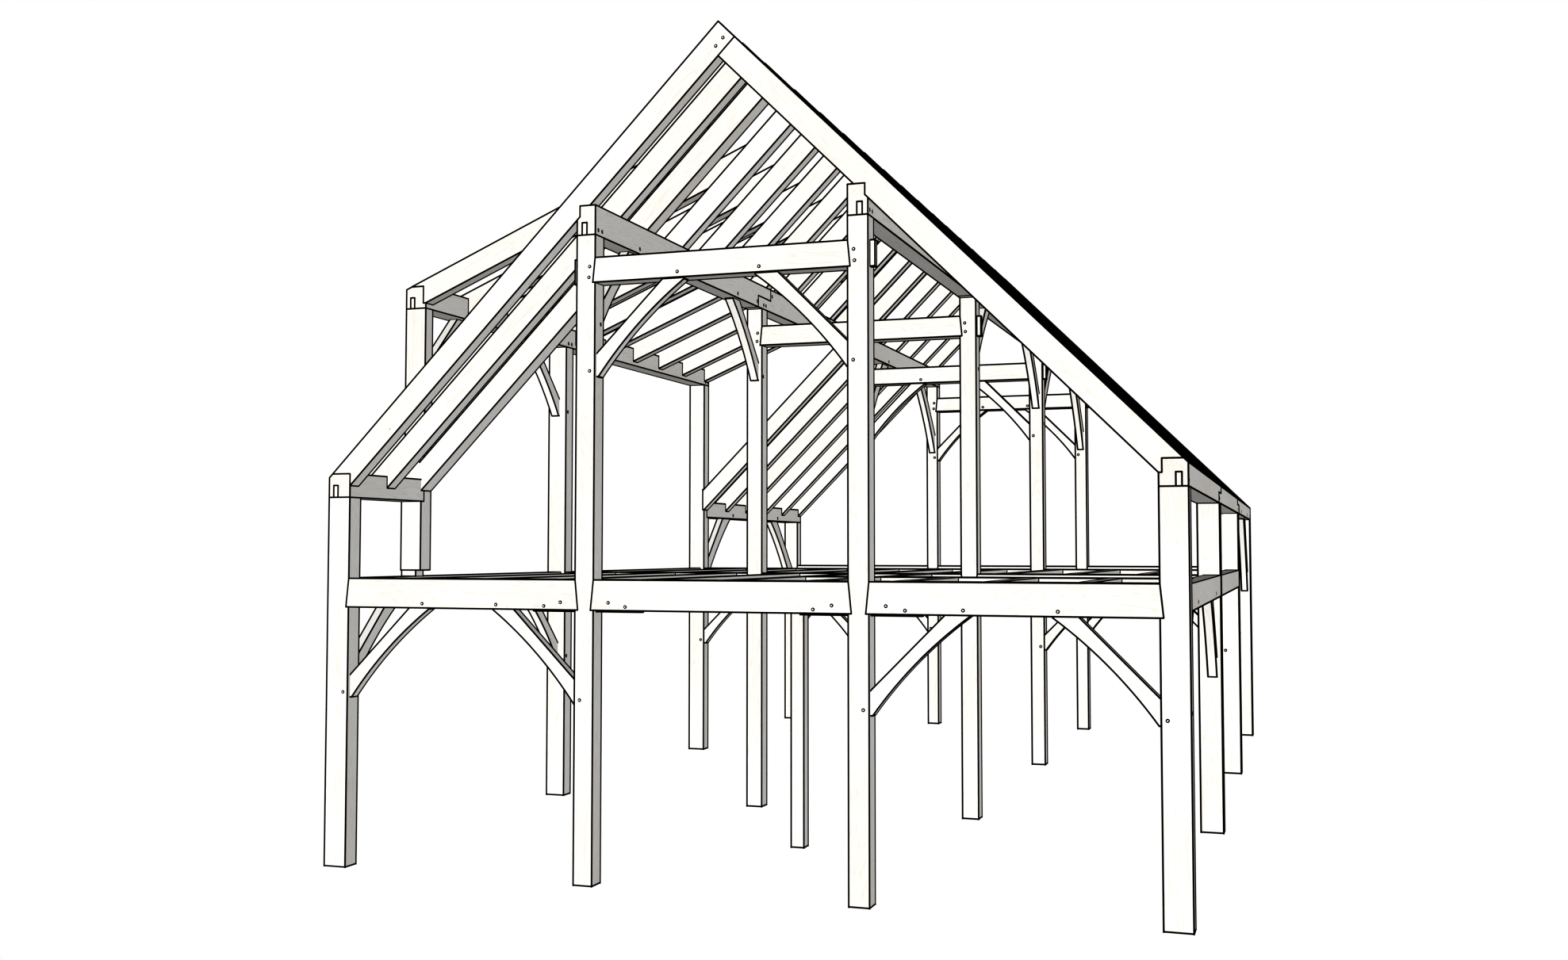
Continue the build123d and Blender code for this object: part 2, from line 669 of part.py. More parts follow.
# Dormer plate and the shallow rafters that rest on the main roof
dormer_inner = eave_post - dormer_housing
dormer_places = [front + y for y in dormer_rafters] + [bents[2]]
dormer_first = dormer_post_y[1] - rafter_width
dormer_seat = dormer_under_rise + dormer_slope * eave_post
dormer_low = (dormer_under_rise - top_rise) / (1 - dormer_slope)
dormer_high = (dormer_top_rise - top_rise) / (1 - dormer_slope)
with BuildPart() as dormer_plate:
    block(-half_width, -eave_inner, dormer_step_y, bay_3[0], dormer_bottom, dormer_top)
    post_mortises(left, half_width, bents[1:3], dormer_bottom)
    block(first - fit, second + fit, dormer_step_y, dormer_post_y[1] + fit, dormer_bottom,
          dormer_bottom + post_tenon_height + fit, mode=Mode.SUBTRACT)
    brace_mortises(dormer_corners, small_leg, small_foot)
    across(on_side(left, [(-1, dormer_top_rise - dormer_slope), (dormer_bevel, dormer_top),
                          (dormer_bevel, dormer_top + 5), (-1, dormer_top + 5)]),
           [dormer_step_y], bay_3[0] - dormer_step_y, Mode.SUBTRACT)
    for place in dormer_places + [dormer_first]:
        block(-half_width + dormer_inner, -eave_inner, place - fit, place + rafter_width + fit,
              dormer_seat, dormer_top, mode=Mode.SUBTRACT)

with BuildPart() as dormer_roof_rafters:
    profile = on_side(left, [(dormer_bevel, dormer_top), (dormer_inner, dormer_top),
                             (dormer_inner, dormer_seat), (eave_post, dormer_seat),
                             (dormer_low, top_rise + dormer_low),
                             (dormer_high, top_rise + dormer_high)])
    across(profile, dormer_places + [dormer_first], rafter_width)

# Main rafters
with BuildPart() as left_full_rafters:
    across(rafter_profile(left, foot_left, crown_left), full_left, rafter_width)
    fork(left, full_left, rafter_width)

with BuildPart() as left_post_rafters:
    across(rafter_profile(left, foot_post, crown_left), [post_left], wide_rafter)
    across(rafter_profile(left, foot_post, crown_left), [post_left_rear], rafter_width)
    fork(left, [post_left], wide_rafter)
    fork(left, [post_left_rear], rafter_width)

with BuildPart() as left_short_rafters:
    across(rafter_profile(left, foot_short, crown_left), short_left, rafter_width)
    fork(left, short_left, rafter_width)

with BuildPart() as right_rafters:
    across(rafter_profile(right, foot_right, crown_right), right_seats, rafter_width)
    across(rafter_profile(right, foot_right, crown_right), [post_left], wide_rafter)
    tongue(right, right_seats, rafter_width)
    tongue(right, [post_left], wide_rafter)

left_eave_posts.part.label = "left_eave_posts"
left_tall_posts.part.label = "left_tall_posts"
dormer_post.part.label = "dormer_post"
left_inner_posts.part.label = "left_inner_posts"
right_inner_posts.part.label = "right_inner_posts"
right_eave_posts.part.label = "right_eave_posts"
mid_post.part.label = "mid_post"
left_bent_girts.part.label = "left_bent_girts"
centre_bent_girts.part.label = "centre_bent_girts"
right_bent_girts.part.label = "right_bent_girts"
floor_splines.part.label = "floor_splines"
left_wall_girts.part.label = "left_wall_girts"
right_wall_girts.part.label = "right_wall_girts"
floor_joists.part.label = "floor_joists"
floor_header.part.label = "floor_header"
upper_ties.part.label = "upper_ties"
floor_braces.part.label = "floor_braces"
tie_braces.part.label = "tie_braces"
wall_girt_braces.part.label = "wall_girt_braces"
purlin_braces.part.label = "purlin_braces"
dormer_braces.part.label = "dormer_braces"
rear_bay_braces.part.label = "rear_bay_braces"
left_eave_plates.part.label = "left_eave_plates"
right_eave_plate_ends.part.label = "right_eave_plate_ends"
right_eave_plate_middle.part.label = "right_eave_plate_middle"
left_purlin_ends.part.label = "left_purlin_ends"
left_purlin_middle.part.label = "left_purlin_middle"
right_purlin_ends.part.label = "right_purlin_ends"
right_purlin_middle.part.label = "right_purlin_middle"
dormer_plate.part.label = "dormer_plate"
dormer_roof_rafters.part.label = "dormer_roof_rafters"
left_full_rafters.part.label = "left_full_rafters"
left_post_rafters.part.label = "left_post_rafters"
left_short_rafters.part.label = "left_short_rafters"
right_rafters.part.label = "right_rafters"

export_step(left_eave_posts.part, "parts/left_eave_posts.step")
export_step(left_tall_posts.part, "parts/left_tall_posts.step")
export_step(dormer_post.part, "parts/dormer_post.step")
export_step(left_inner_posts.part, "parts/left_inner_posts.step")
export_step(right_inner_posts.part, "parts/right_inner_posts.step")
export_step(right_eave_posts.part, "parts/right_eave_posts.step")
export_step(mid_post.part, "parts/mid_post.step")
export_step(left_bent_girts.part, "parts/left_bent_girts.step")
export_step(centre_bent_girts.part, "parts/centre_bent_girts.step")
export_step(right_bent_girts.part, "parts/right_bent_girts.step")
export_step(floor_splines.part, "parts/floor_splines.step")
export_step(left_wall_girts.part, "parts/left_wall_girts.step")
export_step(right_wall_girts.part, "parts/right_wall_girts.step")
export_step(floor_joists.part, "parts/floor_joists.step")
export_step(floor_header.part, "parts/floor_header.step")
export_step(upper_ties.part, "parts/upper_ties.step")
export_step(floor_braces.part, "parts/floor_braces.step")
export_step(tie_braces.part, "parts/tie_braces.step")
export_step(wall_girt_braces.part, "parts/wall_girt_braces.step")
export_step(purlin_braces.part, "parts/purlin_braces.step")
export_step(dormer_braces.part, "parts/dormer_braces.step")
export_step(rear_bay_braces.part, "parts/rear_bay_braces.step")
export_step(left_eave_plates.part, "parts/left_eave_plates.step")
export_step(right_eave_plate_ends.part, "parts/right_eave_plate_ends.step")
export_step(right_eave_plate_middle.part, "parts/right_eave_plate_middle.step")
export_step(left_purlin_ends.part, "parts/left_purlin_ends.step")
export_step(left_purlin_middle.part, "parts/left_purlin_middle.step")
export_step(right_purlin_ends.part, "parts/right_purlin_ends.step")
export_step(right_purlin_middle.part, "parts/right_purlin_middle.step")
export_step(dormer_plate.part, "parts/dormer_plate.step")
export_step(dormer_roof_rafters.part, "parts/dormer_roof_rafters.step")
export_step(left_full_rafters.part, "parts/left_full_rafters.step")
export_step(left_post_rafters.part, "parts/left_post_rafters.step")
export_step(left_short_rafters.part, "parts/left_short_rafters.step")
export_step(right_rafters.part, "parts/right_rafters.step")
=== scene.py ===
import math

import bmesh
import bpy
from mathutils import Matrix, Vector


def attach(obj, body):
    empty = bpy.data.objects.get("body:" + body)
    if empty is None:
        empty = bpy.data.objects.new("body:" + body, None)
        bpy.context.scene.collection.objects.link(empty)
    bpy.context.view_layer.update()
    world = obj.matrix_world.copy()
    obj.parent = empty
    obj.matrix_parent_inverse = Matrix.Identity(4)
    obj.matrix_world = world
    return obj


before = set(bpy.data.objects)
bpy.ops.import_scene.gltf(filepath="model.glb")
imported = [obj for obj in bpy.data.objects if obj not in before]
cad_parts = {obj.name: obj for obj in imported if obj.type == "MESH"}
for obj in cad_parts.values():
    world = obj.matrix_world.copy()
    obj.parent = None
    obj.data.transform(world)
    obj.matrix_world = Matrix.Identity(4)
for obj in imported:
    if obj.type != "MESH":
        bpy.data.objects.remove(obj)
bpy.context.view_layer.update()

# Sizes of the frame in metres, as in the part
half_width = 4.471
length = 15.306
front = -7.653
bent_places = (0.0, 5.001, 10.106, 15.113)
braced_bents = (0, 2, 3)
inner_face = 1.537
eave_post = 0.258
inner_post = 0.203
post_depth = 0.193
girt_bottom = 2.752
wall_girt_bottom = 2.810
floor_top = 3.056
stub_height = 0.071
eave_bottom = 3.922
dormer_bottom = 6.176
tie_bottom = 6.071
purlin_bottom = 6.561
rafter_width = 0.152
front_rafters = (0.0, 0.691)
wide_rafter = 0.204
wide_rafter_at = 1.380
dormer_step = 0.058
dormer_rafter_at = 2.385
dormer_pitch = 0.9652

# Places that follow from them
bents = [front + place for place in bent_places]
bay_starts = [bent + post_depth for bent in bents[:3]]
bay_ends = bents[1:]
bay_middles = [(start + end) / 2 for start, end in zip(bay_starts, bay_ends)]
dormer_start = front + wide_rafter_at + wide_rafter
dormer_rafters = tuple(dormer_rafter_at + dormer_pitch * k for k in range(8))
rear_pitch = (length - rafter_width - bent_places[2]) / 5
rear_rafters = tuple(bent_places[2] + rear_pitch * k for k in range(6))
eave_inner = half_width - eave_post
inner_inner = inner_face - inner_post
aisle_middle = (eave_inner + inner_face) / 2

# Base colour of each kind of timber, and its shares in plain and warm wood, rings and knots
post_tone = (0.965, 0.96, 0.95)
beam_tone = (0.963, 0.958, 0.947)
brace_tone = (0.965, 0.96, 0.952)
joist_tone = (0.96, 0.955, 0.943)
rafter_tone = (0.967, 0.962, 0.953)
grain_tints = ((1.0, 1.0, 1.0), (0.965, 0.95, 0.925), (0.83, 0.785, 0.72), (0.42, 0.32, 0.24))

# Patterns of the grain: how short each is drawn along it, and how fine it is
wander_draw = 0.45
wander_scale = 2.2
wander = 0.16
patch_scale = 1.1
knot_draw = 0.55
knot_scale = 2.6
knot_push = 0.03
knotless_share = 0.55
ring_draw = 0.06
ring_scale = 9.0
ring_bands = 15.0
fibre_draw = 0.02
fibre_scale = 260.0
saw_scale = 90.0
bump_strength = 0.10
bump_depth = 0.0015

# Dark lines: radius at the front, growth towards the rear, share for the floor's long edges
line_at_front = 0.0090
line_growth = 0.0070
line_run = 15.3
level_share = 0.65
line_sides = 6
line_overlap = 0.4
shortest_line = 0.0005
same_place = 0.0005
weld = 0.00002
sharp_turn = math.radians(20)

# Pegs, and the dark rings round them: painted shadow of the gap round each peg end
peg_radius = 0.0080
side_peg_radius = 0.0050
peg_proud = 0.006
peg_end_gap = 0.0002
peg_sides = 14
ring_share = 1.2
side_ring_share = 1.9
ring_foot = 0.0010
ring_shoulder = 0.0040

# Places of pegs: a step from the timber or bent beside, and a height above the timber's bottom
brace_peg_inset = 0.055
inner_peg_inset = 0.057
girt_peg_height = 0.045
small_reach = 0.902
large_reach = 1.195
girt_pegs = ((0.165, 0.077), (0.351, 0.037))
tie_pegs = ((0.061, 0.163), (0.069, 0.053))
purlin_pegs = ((0.070, 0.056), (0.158, 0.056))
dormer_pegs = ((0.066, 0.052), (0.162, 0.052))
eave_peg = (0.069, 0.056)
low_scarf_peg = (-0.273, 0.070)
high_scarf_peg = (0.315, 0.221)

# Places of the two pegs of each pair of rafters: x and z
crown_pegs = ((0.051, 8.435), (-0.025, 8.359))

# Floor, backdrop, lights and camera
stage_size = 400
floor_drop = 0.002
backdrop_radius = 190
side_slant = 0.976
side_fall = 0.22
side_strength = 1.86
world_strength = 0.06
photo_width = 1977
focal_pixels = 1918.85
sensor = 36
camera_place = (5.451, front - 13.868, 3.346)
camera_tilt = 0.0467
camera_turn = 0.3306


# Materials
class Tree:
    """Short way to write a node tree."""

    def __init__(self, name):
        self.material = bpy.data.materials.new(name)
        self.material.use_nodes = True
        self.tree = self.material.node_tree
        self.shader = self.tree.nodes["Principled BSDF"]

    def add(self, kind, inputs=(), **settings):
        """Node of a kind, with its inputs set or linked."""
        node = self.tree.nodes.new(kind)
        for key, value in settings.items():
            setattr(node, key, value)
        for key, value in dict(inputs).items():
            self.feed(node.inputs[key], value)
        return node

    def feed(self, socket, value):
        """Links an output to a socket, or sets its value."""
        if isinstance(value, bpy.types.NodeSocket):
            self.tree.links.new(value, socket)
        else:
            socket.default_value = value

    def math(self, operation, a, b=0.0):
        """Result of a Math node."""
        return self.add("ShaderNodeMath", {0: a, 1: b}, operation=operation).outputs[0]

    def dot(self, a, b):
        """Dot product of two vectors."""
        node = self.add("ShaderNodeVectorMath", {0: a, 1: b}, operation="DOT_PRODUCT")
        return node.outputs["Value"]

    def combine(self, x, y, z):
        """Vector of three parts."""
        return self.add("ShaderNodeCombineXYZ", {0: x, 1: y, 2: z}).outputs[0]

    def noise(self, place, scale, detail):
        """Soft noise at a place."""
        inputs = {"Vector": place, "Scale": scale, "Detail": detail}
        return self.add("ShaderNodeTexNoise", inputs).outputs[0]

    def scale(self, value, low, high, to_low=0.0, to_high=1.0):
        """Value mapped from one range to another, smooth and clamped."""
        inputs = {"Value": value, "From Min": low, "From Max": high,
                  "To Min": to_low, "To Max": to_high}
        return self.add("ShaderNodeMapRange", inputs, interpolation_type="SMOOTHSTEP").outputs[0]

    def mix(self, amount, a, b):
        """Colour between a and b."""
        return self.add("ShaderNodeMix", {0: amount, 6: a, 7: b}, data_type="RGBA").outputs[2]


def grain_axes(t, place, along, turns):
    """Directions along the grain, across it and square to both.

    along is (x, y, z). turns is (axis, places): the sideways part of the direction changes
    sign at each of these places along the axis, which suits braces at both ends of a bay.
    """
    unit = Vector(along).normalized()
    if not turns:
        side = unit.orthogonal().normalized()
        if abs(unit.z) < 0.99:
            side = Vector((0, 0, 1)).cross(unit).normalized()
        return tuple(unit), tuple(side), tuple(unit.cross(side))
    axis, places = turns
    here = t.add("ShaderNodeSeparateXYZ", {0: place}).outputs[axis]
    passed = 0.0
    for where in places:
        passed = t.math("ADD", t.math("GREATER_THAN", here, where), passed)
    sign = t.math("SUBTRACT", 1.0, t.math("MULTIPLY", t.math("MODULO", passed, 2.0), 2.0))
    side = t.math("MULTIPLY", sign, max(unit.x, unit.y))
    if axis == "X":
        return t.combine(side, 0.0, unit.z), t.combine(-unit.z, 0.0, side), (0, 1, 0)
    return t.combine(0.0, side, unit.z), t.combine(0.0, -unit.z, side), (1, 0, 0)


def timber(name, along, tone, turns=()):
    """Planed pale timber with its grain along one direction."""
    t = Tree(name)
    coords = t.add("ShaderNodeTexCoord")
    place = coords.outputs["Object"]
    direction, across, third = grain_axes(t, place, along, turns)
    u = t.dot(place, direction)
    v = t.dot(place, across)
    w = t.dot(place, third)

    def drawn(share, v, w):
        """Place with its part along the grain cut to a share, which draws a pattern out."""
        return t.combine(t.math("MULTIPLY", u, share), v, w)

    # Long wandering of the grain
    slow = drawn(wander_draw, v, w)
    drift = t.noise(slow, wander_scale, 2.0)
    bend = t.math("MULTIPLY", t.math("SUBTRACT", drift, 0.5), wander)
    bent_v = t.math("ADD", v, bend)
    bent_w = t.math("SUBTRACT", w, bend)

    # Knots: dark centres that push the grain aside
    cell = drawn(knot_draw, v, w)
    knots = t.add("ShaderNodeTexVoronoi", {"Vector": cell, "Scale": knot_scale}, feature="F1")
    away = knots.outputs["Distance"]
    chance = t.add("ShaderNodeSeparateColor", {0: knots.outputs["Color"]}).outputs[0]
    present = t.math("GREATER_THAN", chance, knotless_share)
    near = t.math("MULTIPLY", t.scale(away, 0.02, 0.16, 1.0, 0.0), present)
    push = t.math("MULTIPLY", near, knot_push)
    core = t.math("MULTIPLY", t.scale(away, 0.022, 0.042, 1.0, 0.0), present)
    rim = t.math("MULTIPLY", t.scale(away, 0.035, 0.062, 1.0, 0.0), present)

    # Growth rings as they show on the long faces
    slope = drawn(ring_draw, t.math("ADD", bent_v, push), t.math("ADD", bent_w, push))
    rings = t.noise(slope, ring_scale, 1.0)
    bands = t.math("FRACT", t.math("MULTIPLY", rings, ring_bands))
    late = t.math("MULTIPLY", t.scale(bands, 0.45, 0.92), t.scale(bands, 0.92, 1.0, 1.0, 0.0))

    # Fine fibres, and broad patches of warmer wood
    fine = t.noise(drawn(fibre_draw, bent_v, bent_w), fibre_scale, 3.0)
    broad = t.noise(slow, patch_scale, 2.0)

    # End grain where a face looks along the timber
    facing = t.math("ABSOLUTE", t.dot(coords.outputs["Normal"], direction))
    end = t.scale(facing, 0.60, 0.80)
    sawn = t.scale(t.noise(place, saw_scale, 3.0), 0.35, 0.70, 0.08, 0.36)

    plain, warm, ring, knot = (tuple(c * share for c, share in zip(tone, tint)) + (1.0,)
                               for tint in grain_tints)
    colour = t.mix(t.scale(broad, 0.35, 0.70), plain, warm)
    layers = ((late, 0.34, ring), (t.scale(fine, 0.52, 0.78), 0.30, ring), (rim, 0.40, ring),
              (core, 0.62, knot), (end, sawn, ring))
    for cover, strength, shade in layers:
        colour = t.mix(t.math("MULTIPLY", cover, strength), colour, shade)
    t.feed(t.shader.inputs["Base Color"], colour)

    roughness = t.math("ADD", 0.58, t.math("MULTIPLY", fine, 0.22))
    t.feed(t.shader.inputs["Roughness"], roughness)
    t.shader.inputs["Specular IOR Level"].default_value = 0.0
    height = t.math("ADD", t.math("MULTIPLY", late, 0.5), t.math("MULTIPLY", fine, 0.5))
    height = t.math("SUBTRACT", height, t.math("MULTIPLY", core, 0.5))
    bump = t.add("ShaderNodeBump", {"Strength": bump_strength, "Distance": bump_depth,
                                    "Height": height})
    t.feed(t.shader.inputs["Normal"], bump.outputs[0])
    return t.material


def dark_line(name):
    """Nearly black oiled arris, a little uneven; also the painted shadow round the pegs."""
    t = Tree(name)
    noise = t.noise(t.add("ShaderNodeTexCoord").outputs["Object"], 40.0, 3.0)
    low, high = ((grey, grey, grey, 1.0) for grey in (0.001, 0.004))
    t.feed(t.shader.inputs["Base Color"], t.mix(t.scale(noise, 0.35, 0.65), low, high))
    t.feed(t.shader.inputs["Roughness"], t.scale(noise, 0.3, 0.7, 0.75, 0.95))
    t.shader.inputs["Specular IOR Level"].default_value = 0.0
    return t.material


upright = timber("upright_timber", (0, 0, 1), post_tone)
crosswise = timber("crosswise_timber", (1, 0, 0), beam_tone)
lengthwise = timber("lengthwise_timber", (0, 1, 0), beam_tone)
joist_wood = timber("joist_timber", (0, 1, 0), joist_tone)
header_wood = timber("header_timber", (1, 0, 0), joist_tone)
left_slope = timber("left_slope_timber", (1, 0, 1), rafter_tone)
right_slope = timber("right_slope_timber", (-1, 0, 1), rafter_tone)
dormer_slope = timber("dormer_slope_timber", (12, 0, 5), rafter_tone)
floor_brace = timber("floor_brace_timber", (1, 0, 1), brace_tone,
                     ("X", (-aisle_middle, 0.0, aisle_middle)))
tie_brace = timber("tie_brace_timber", (1, 0, 1), brace_tone, ("X", (0.0,)))
wall_brace = timber("wall_brace_timber", (0, 1, 1), brace_tone,
                    ("Y", (bay_middles[0], bents[1] + post_depth / 2, bay_middles[1])))
dormer_brace = timber("dormer_brace_timber", (0, 1, 1), brace_tone,
                      ("Y", ((dormer_start + bents[1]) / 2,)))
rear_brace = timber("rear_brace_timber", (0, 1, 1), brace_tone, ("Y", (bay_middles[2],)))
peg_wood = timber("peg_timber", (0, 1, 0), rafter_tone)
ink = dark_line("dark_arris_and_peg_shadow")

# Finish of each node by its full name, or else by the last word of its name
finish_by_node = {
    "left_wall_girts": lengthwise, "right_wall_girts": lengthwise,
    "floor_joists": joist_wood, "floor_header": header_wood,
    "floor_braces": floor_brace, "tie_braces": tie_brace,
    "wall_girt_braces": wall_brace, "purlin_braces": wall_brace,
    "dormer_braces": dormer_brace, "rear_bay_braces": rear_brace,
    "right_eave_plate_ends": lengthwise, "right_eave_plate_middle": lengthwise,
    "left_purlin_ends": lengthwise, "left_purlin_middle": lengthwise,
    "right_purlin_ends": lengthwise, "right_purlin_middle": lengthwise,
    "dormer_roof_rafters": dormer_slope, "left_full_rafters": left_slope,
    "left_post_rafters": left_slope, "left_short_rafters": left_slope,
    "right_rafters": right_slope,
}
finish_by_word = {
    "posts": upright, "post": upright, "girts": crosswise, "splines": crosswise,
    "ties": crosswise, "plate": lengthwise, "plates": lengthwise,
}

for name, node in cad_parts.items():
    finish = finish_by_node.get(name) or finish_by_word[name.split("_")[-1]]
    node.data.materials.clear()
    node.data.materials.append(finish)


def new_piece(name, data, finish):
    """Piece made from a mesh, which rides with the frame."""
    data.materials.append(finish)
    piece = bpy.data.objects.new(name, data)
    bpy.context.collection.objects.link(piece)
    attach(piece, "root")
    return piece


# Dark lines along the arrises
def line_radius(y):
    """Radius of the dark line along an edge, a little larger towards the rear."""
    share = min(1.0, max(0.0, (y - front) / line_run))
    return line_at_front + line_growth * share


def is_tight_joint(name, start, end):
    """True for a brace against a post, and for the wide rafter against the dormer post."""
    if name.endswith("braces"):
        return math.hypot(end.x - start.x, end.y - start.y) < same_place
    x = -eave_inner - 0.012
    y = front + wide_rafter_at
    return all(abs(place.x - x) < 0.02 and abs(place.y - y) < 0.002 and place.z > eave_bottom
               for place in (start, end))


def is_floor_edge(along, start, end):
    """True for the long edges in the top of the floor."""
    level = all(abs(place.z - floor_top) < 0.003 for place in (start, end))
    return level and abs(along.y) > 0.9


def sharp_edges(node):
    """Both ends of every sharp edge of a node, but for the tight joints."""
    mesh = bmesh.new()
    mesh.from_mesh(node.data)
    bmesh.ops.remove_doubles(mesh, verts=mesh.verts, dist=weld)
    ends = []
    for edge in mesh.edges:
        if len(edge.link_faces) == 2 and edge.calc_face_angle(0.0) < sharp_turn:
            continue
        start, end = (vert.co.copy() for vert in edge.verts)
        if not is_tight_joint(node.name, start, end):
            ends.append((start, end))
    mesh.free()
    return ends


def line_piece(name, ends):
    """Thin round dark line between each pair of ends, kept above the ground."""
    points = []
    faces = []
    for start, end in ends:
        along = end - start
        if along.length < shortest_line:
            continue
        along.normalize()
        side = along.orthogonal().normalized()
        other = along.cross(side)
        first = len(points)
        share = level_share if is_floor_edge(along, start, end) else 1.0
        on_ground = max(start.z, end.z) < same_place
        for place, reach in ((start, -line_overlap), (end, line_overlap)):
            radius = line_radius(place.y) * share
            lift = radius if on_ground else 0.0
            for k in range(line_sides):
                turn = 2 * math.pi * k / line_sides
                ring = side * math.cos(turn) + other * math.sin(turn)
                point = place + along * (radius * reach) + ring * radius
                point.z = max(point.z + lift, 0.0)
                points.append(point)
        for k in range(line_sides):
            n = (k + 1) % line_sides
            faces.append((first + k, first + n, first + line_sides + n, first + line_sides + k))
    data = bpy.data.meshes.new(name)
    data.from_pydata(points, [], faces)
    data.update()
    return new_piece(name, data, ink)


def joint_lines():
    """Lines across the tenons that show at the ends of the plates and in the dormer post."""
    places = [(-1, half_width, eave_post, eave_bottom), (1, half_width, eave_post, eave_bottom),
              (-1, inner_face, inner_post, purlin_bottom),
              (1, inner_face, inner_post, purlin_bottom)]
    lines = [(Vector((side * outer, y, z)), Vector((side * (outer - width), y, z)))
             for side, outer, width, z in places for y in (front, bents[3] + post_depth)]
    for y, z in ((wide_rafter_at + dormer_step, dormer_bottom),
                 (wide_rafter_at, floor_top + stub_height)):
        lines.append((Vector((-half_width, front + y, z)), Vector((-eave_inner, front + y, z))))
    return lines


for name in sorted(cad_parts):
    line_piece(name + "_arrises", sharp_edges(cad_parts[name]))
line_piece("plate_joints", joint_lines())

# Turned pegs
pegs = []


def peg(x, y, z, direction):
    """End of a peg at a point of a face that looks along direction."""
    pegs.append((Vector((x, y, z)), Vector(direction)))


def through_y(x, z, bent):
    """Peg through the depth of a bent, with both ends showing."""
    peg(x, bent, z, (0, -1, 0))
    peg(x, bent + post_depth, z, (0, 1, 0))


def through_x(side, outer, width, y, z):
    """Peg through the width of a timber in a row along the building."""
    peg(side * outer, y, z, (side, 0, 0))
    peg(side * (outer - width), y, z, (-side, 0, 0))


def bent_pegs(bent, side, braced):
    """Pegs of the girts, the tie and their braces on one side of a bent."""
    for face, away in ((inner_face, 1), (inner_inner, -1)):
        for step, height in girt_pegs:
            through_y(side * (face + away * step), girt_bottom + height, bent)
    for step, height in tie_pegs:
        through_y(side * (inner_inner + step), tie_bottom + height, bent)
    if not braced:
        return
    through_y(side * (eave_inner + brace_peg_inset), girt_bottom - small_reach, bent)
    through_y(side * (eave_inner - small_reach), girt_bottom + girt_peg_height, bent)
    through_y(side * (inner_face - inner_peg_inset), girt_bottom - small_reach, bent)
    through_y(side * (inner_face + small_reach), girt_bottom + girt_peg_height, bent)
    through_y(side * (inner_inner + brace_peg_inset), tie_bottom - small_reach, bent)
    through_y(side * (inner_inner - small_reach), tie_bottom + brace_peg_inset, bent)


def brace_pegs(side, outer, width, post_width, start, end, level, reach):
    """Pegs of a pair of braces in one bay of a row, in the plate or girt above and the posts."""
    for y, away in ((start, 1), (end, -1)):
        through_x(side, outer, width, y + away * reach, level + brace_peg_inset)
        through_x(side, outer, post_width, y - away * brace_peg_inset, level - reach)


def plate_pegs(side, outer, width, bottom, bent, steps):
    """Pegs of a post's tenon in the plate above it."""
    for step, height in steps:
        through_x(side, outer, width, bent + step, bottom + height)


def scarf_pegs(side, bent):
    """Pegs of a scarf; at the second bent a rafter covers the higher one's outer end."""
    middle = bent + post_depth / 2
    step, height = low_scarf_peg
    through_x(side, inner_face, inner_post, middle + step, purlin_bottom + height)
    step, height = high_scarf_peg
    peg(side * inner_inner, middle + step, purlin_bottom + height, (-side, 0, 0))
    if bent == bents[2]:
        peg(side * inner_face, middle + step, purlin_bottom + height, (side, 0, 0))


for index, bent in enumerate(bents):
    for side in (-1, 1):
        bent_pegs(bent, side, index in braced_bents)

for side in (-1, 1):
    brace_pegs(side, half_width, post_depth, eave_post, bay_starts[0], bay_ends[0],
               wall_girt_bottom, small_reach)
    brace_pegs(side, half_width, eave_post, eave_post, bay_starts[2], bay_ends[2], eave_bottom,
               large_reach)
    brace_pegs(side, inner_face, inner_post, inner_post, bay_starts[2], bay_ends[2],
               purlin_bottom, large_reach)
    for bent in bents:
        plate_pegs(side, inner_face, inner_post, purlin_bottom, bent, purlin_pegs)
    for bent in bents[1:3]:
        scarf_pegs(side, bent)
    step, height = eave_peg
    for bent in bents if side == 1 else (bents[0], bents[3]):
        peg(side * half_width, bent + step, eave_bottom + height, (side, 0, 0))

brace_pegs(-1, inner_face, inner_post, inner_post, bay_starts[0], bay_ends[0], purlin_bottom,
           small_reach)
brace_pegs(1, inner_face, inner_post, inner_post, bay_starts[1], bay_ends[1], purlin_bottom,
           small_reach)
brace_pegs(-1, half_width, eave_post, eave_post, dormer_start, bay_ends[0], dormer_bottom,
           small_reach)
for bent in bents[1:3]:
    plate_pegs(-1, half_width, eave_post, dormer_bottom, bent, dormer_pegs)

crowns = [(place, rafter_width) for place in front_rafters + dormer_rafters + rear_rafters]
for place, width in crowns + [(wide_rafter_at, wide_rafter)]:
    for x, z in crown_pegs:
        peg(x, front + place, z, (0, -1, 0))
        peg(x, front + place + width, z, (0, 1, 0))


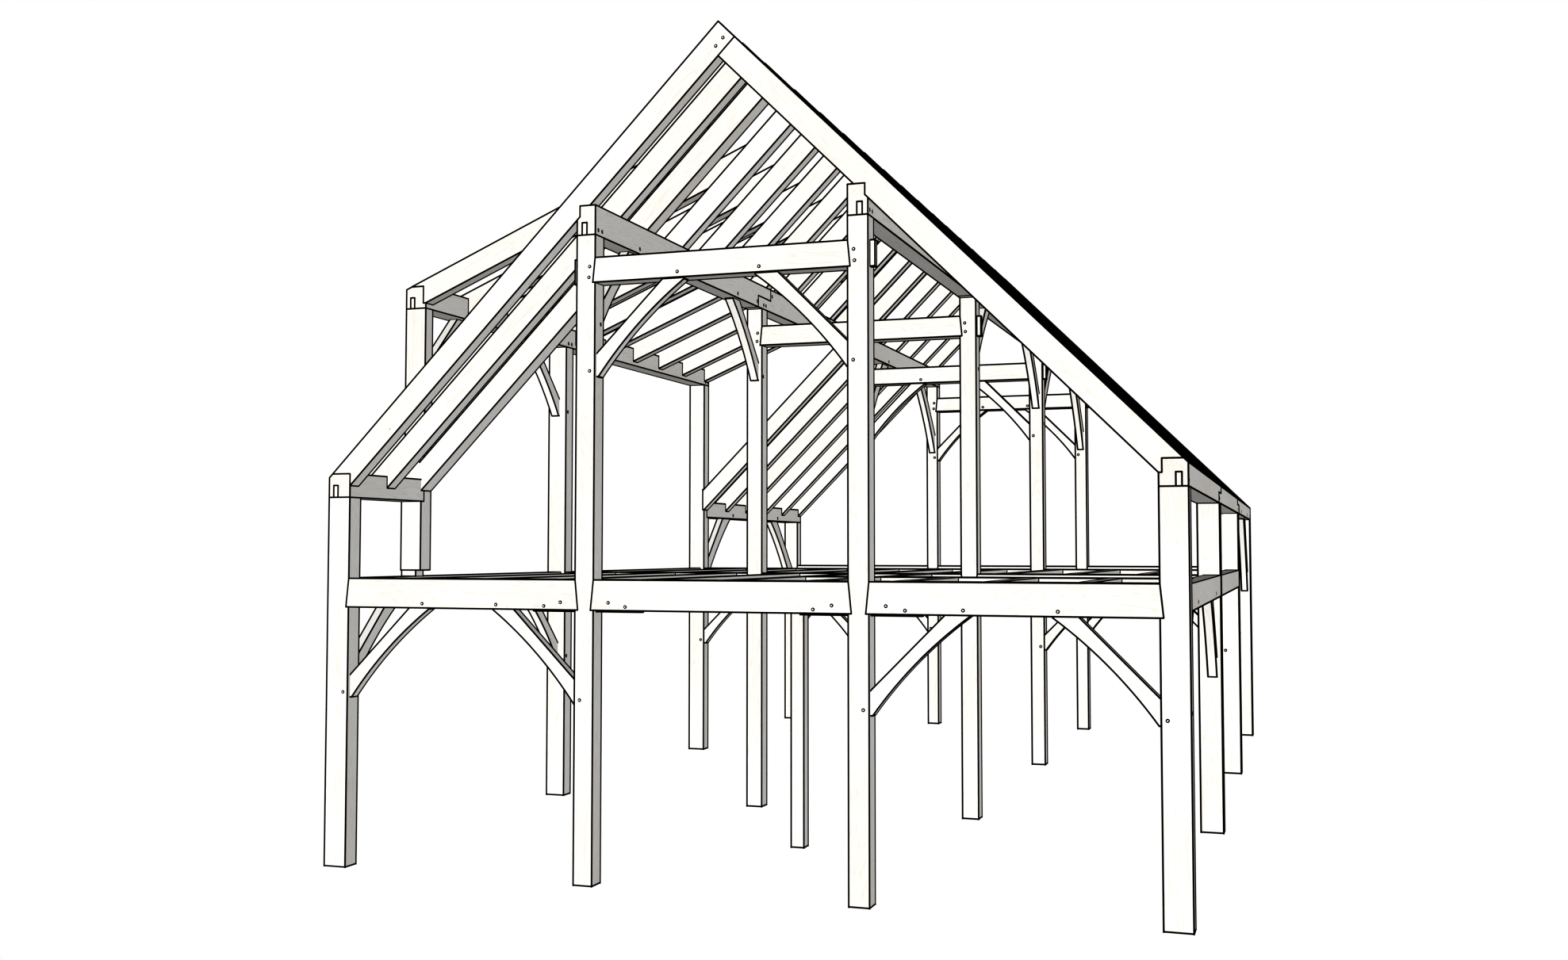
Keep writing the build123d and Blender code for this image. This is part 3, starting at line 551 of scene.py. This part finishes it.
def peg_meshes():
    """All peg ends as one mesh, and the dark rings of painted shadow round them as another."""
    wood = bmesh.new()
    rings = bmesh.new()
    for point, axis in pegs:
        side = axis.orthogonal().normalized()
        other = axis.cross(side)
        turns = [side * math.cos(a) + other * math.sin(a)
                 for a in (2 * math.pi * k / peg_sides for k in range(peg_sides))]
        sideways = abs(axis.x) > 0.5
        radius = side_peg_radius if sideways else peg_radius
        tip = point + axis * (peg_proud + peg_end_gap)
        wood.faces.new([wood.verts.new(tip + t * radius) for t in turns])
        # Dark ring round each peg end: painted shadow of the gap round the peg, as wide as the
        # nearby arris lines
        width = (side_ring_share if sideways else ring_share) * line_radius(point.y)
        profile = ((ring_foot, radius + width), (ring_shoulder, radius + 0.5 * width),
                   (peg_proud, radius))
        loops = [[rings.verts.new(point + axis * h + t * r) for t in turns] for h, r in profile]
        for low, high in zip(loops, loops[1:]):
            for k in range(peg_sides):
                n = (k + 1) % peg_sides
                rings.faces.new((low[k], low[n], high[n], high[k]))
    for name, mesh, finish in (("pegs", wood, peg_wood), ("peg_shadow_rings", rings, ink)):
        data = bpy.data.meshes.new(name)
        mesh.to_mesh(data)
        mesh.free()
        piece = new_piece(name, data, finish)


peg_meshes()


# Floor and backdrop
def glowing(name):
    """Even white for the floor and the backdrop."""
    t = Tree(name)
    t.shader.inputs["Base Color"].default_value = (0.0, 0.0, 0.0, 1.0)
    t.shader.inputs["Emission Color"].default_value = (1.0, 1.0, 1.0, 1.0)
    t.shader.inputs["Emission Strength"].default_value = 1.0
    t.shader.inputs["Specular IOR Level"].default_value = 0.0
    t.material.cycles.emission_sampling = "NONE"
    return t.material


bpy.ops.mesh.primitive_plane_add(size=stage_size, location=(0, 0, -floor_drop))
floor = bpy.context.object
floor.name = "floor"
bpy.ops.mesh.primitive_uv_sphere_add(radius=backdrop_radius, segments=48, ring_count=24)
backdrop = bpy.context.object
backdrop.name = "backdrop"
for stage in (floor, backdrop):
    stage.data.materials.append(glowing(stage.name + "_white"))
    stage.visible_diffuse = False
    stage.visible_glossy = False
    stage.visible_shadow = False

# Lights: each lamp's name, the direction it shines along, and its strength
lamps = (
    ("front_light", (0, 1, 0), 3.3),
    ("right_light", (-side_slant, 0, -side_fall), side_strength),
    ("low_light", (0, 0, 1), 1.17),
    ("left_light", (side_slant, 0, -side_fall), side_strength),
    ("rear_light", (0, -1, 0), 3.0),
)
for name, direction, strength in lamps:
    data = bpy.data.lights.new(name, "SUN")
    data.energy = strength
    data.angle = math.radians(4)
    data.use_shadow = False
    data.cycles.max_bounces = 0
    lamp = bpy.data.objects.new(name, data)
    lamp.rotation_euler = Vector(direction).to_track_quat("-Z", "Y").to_euler()
    bpy.context.collection.objects.link(lamp)

world = bpy.data.worlds.new("world")
bpy.context.scene.world = world
world.use_nodes = True
world.node_tree.nodes["Background"].inputs["Color"].default_value = (1, 1, 1, 1)
world.node_tree.nodes["Background"].inputs["Strength"].default_value = world_strength

# Camera at the photograph's viewpoint, with its focal length in the photograph's pixels
cam_data = bpy.data.cameras.new("camera")
cam = bpy.data.objects.new("camera", cam_data)
bpy.context.collection.objects.link(cam)
cam.location = camera_place
cam.rotation_euler = (math.radians(90) + camera_tilt, 0, camera_turn)
cam_data.sensor_width = sensor
cam_data.lens = sensor * focal_pixels / photo_width
cam_data.clip_end = 500
bpy.context.scene.camera = cam
bpy.context.scene.view_settings.view_transform = "Standard"
bpy.context.scene.view_settings.gamma = 0.55
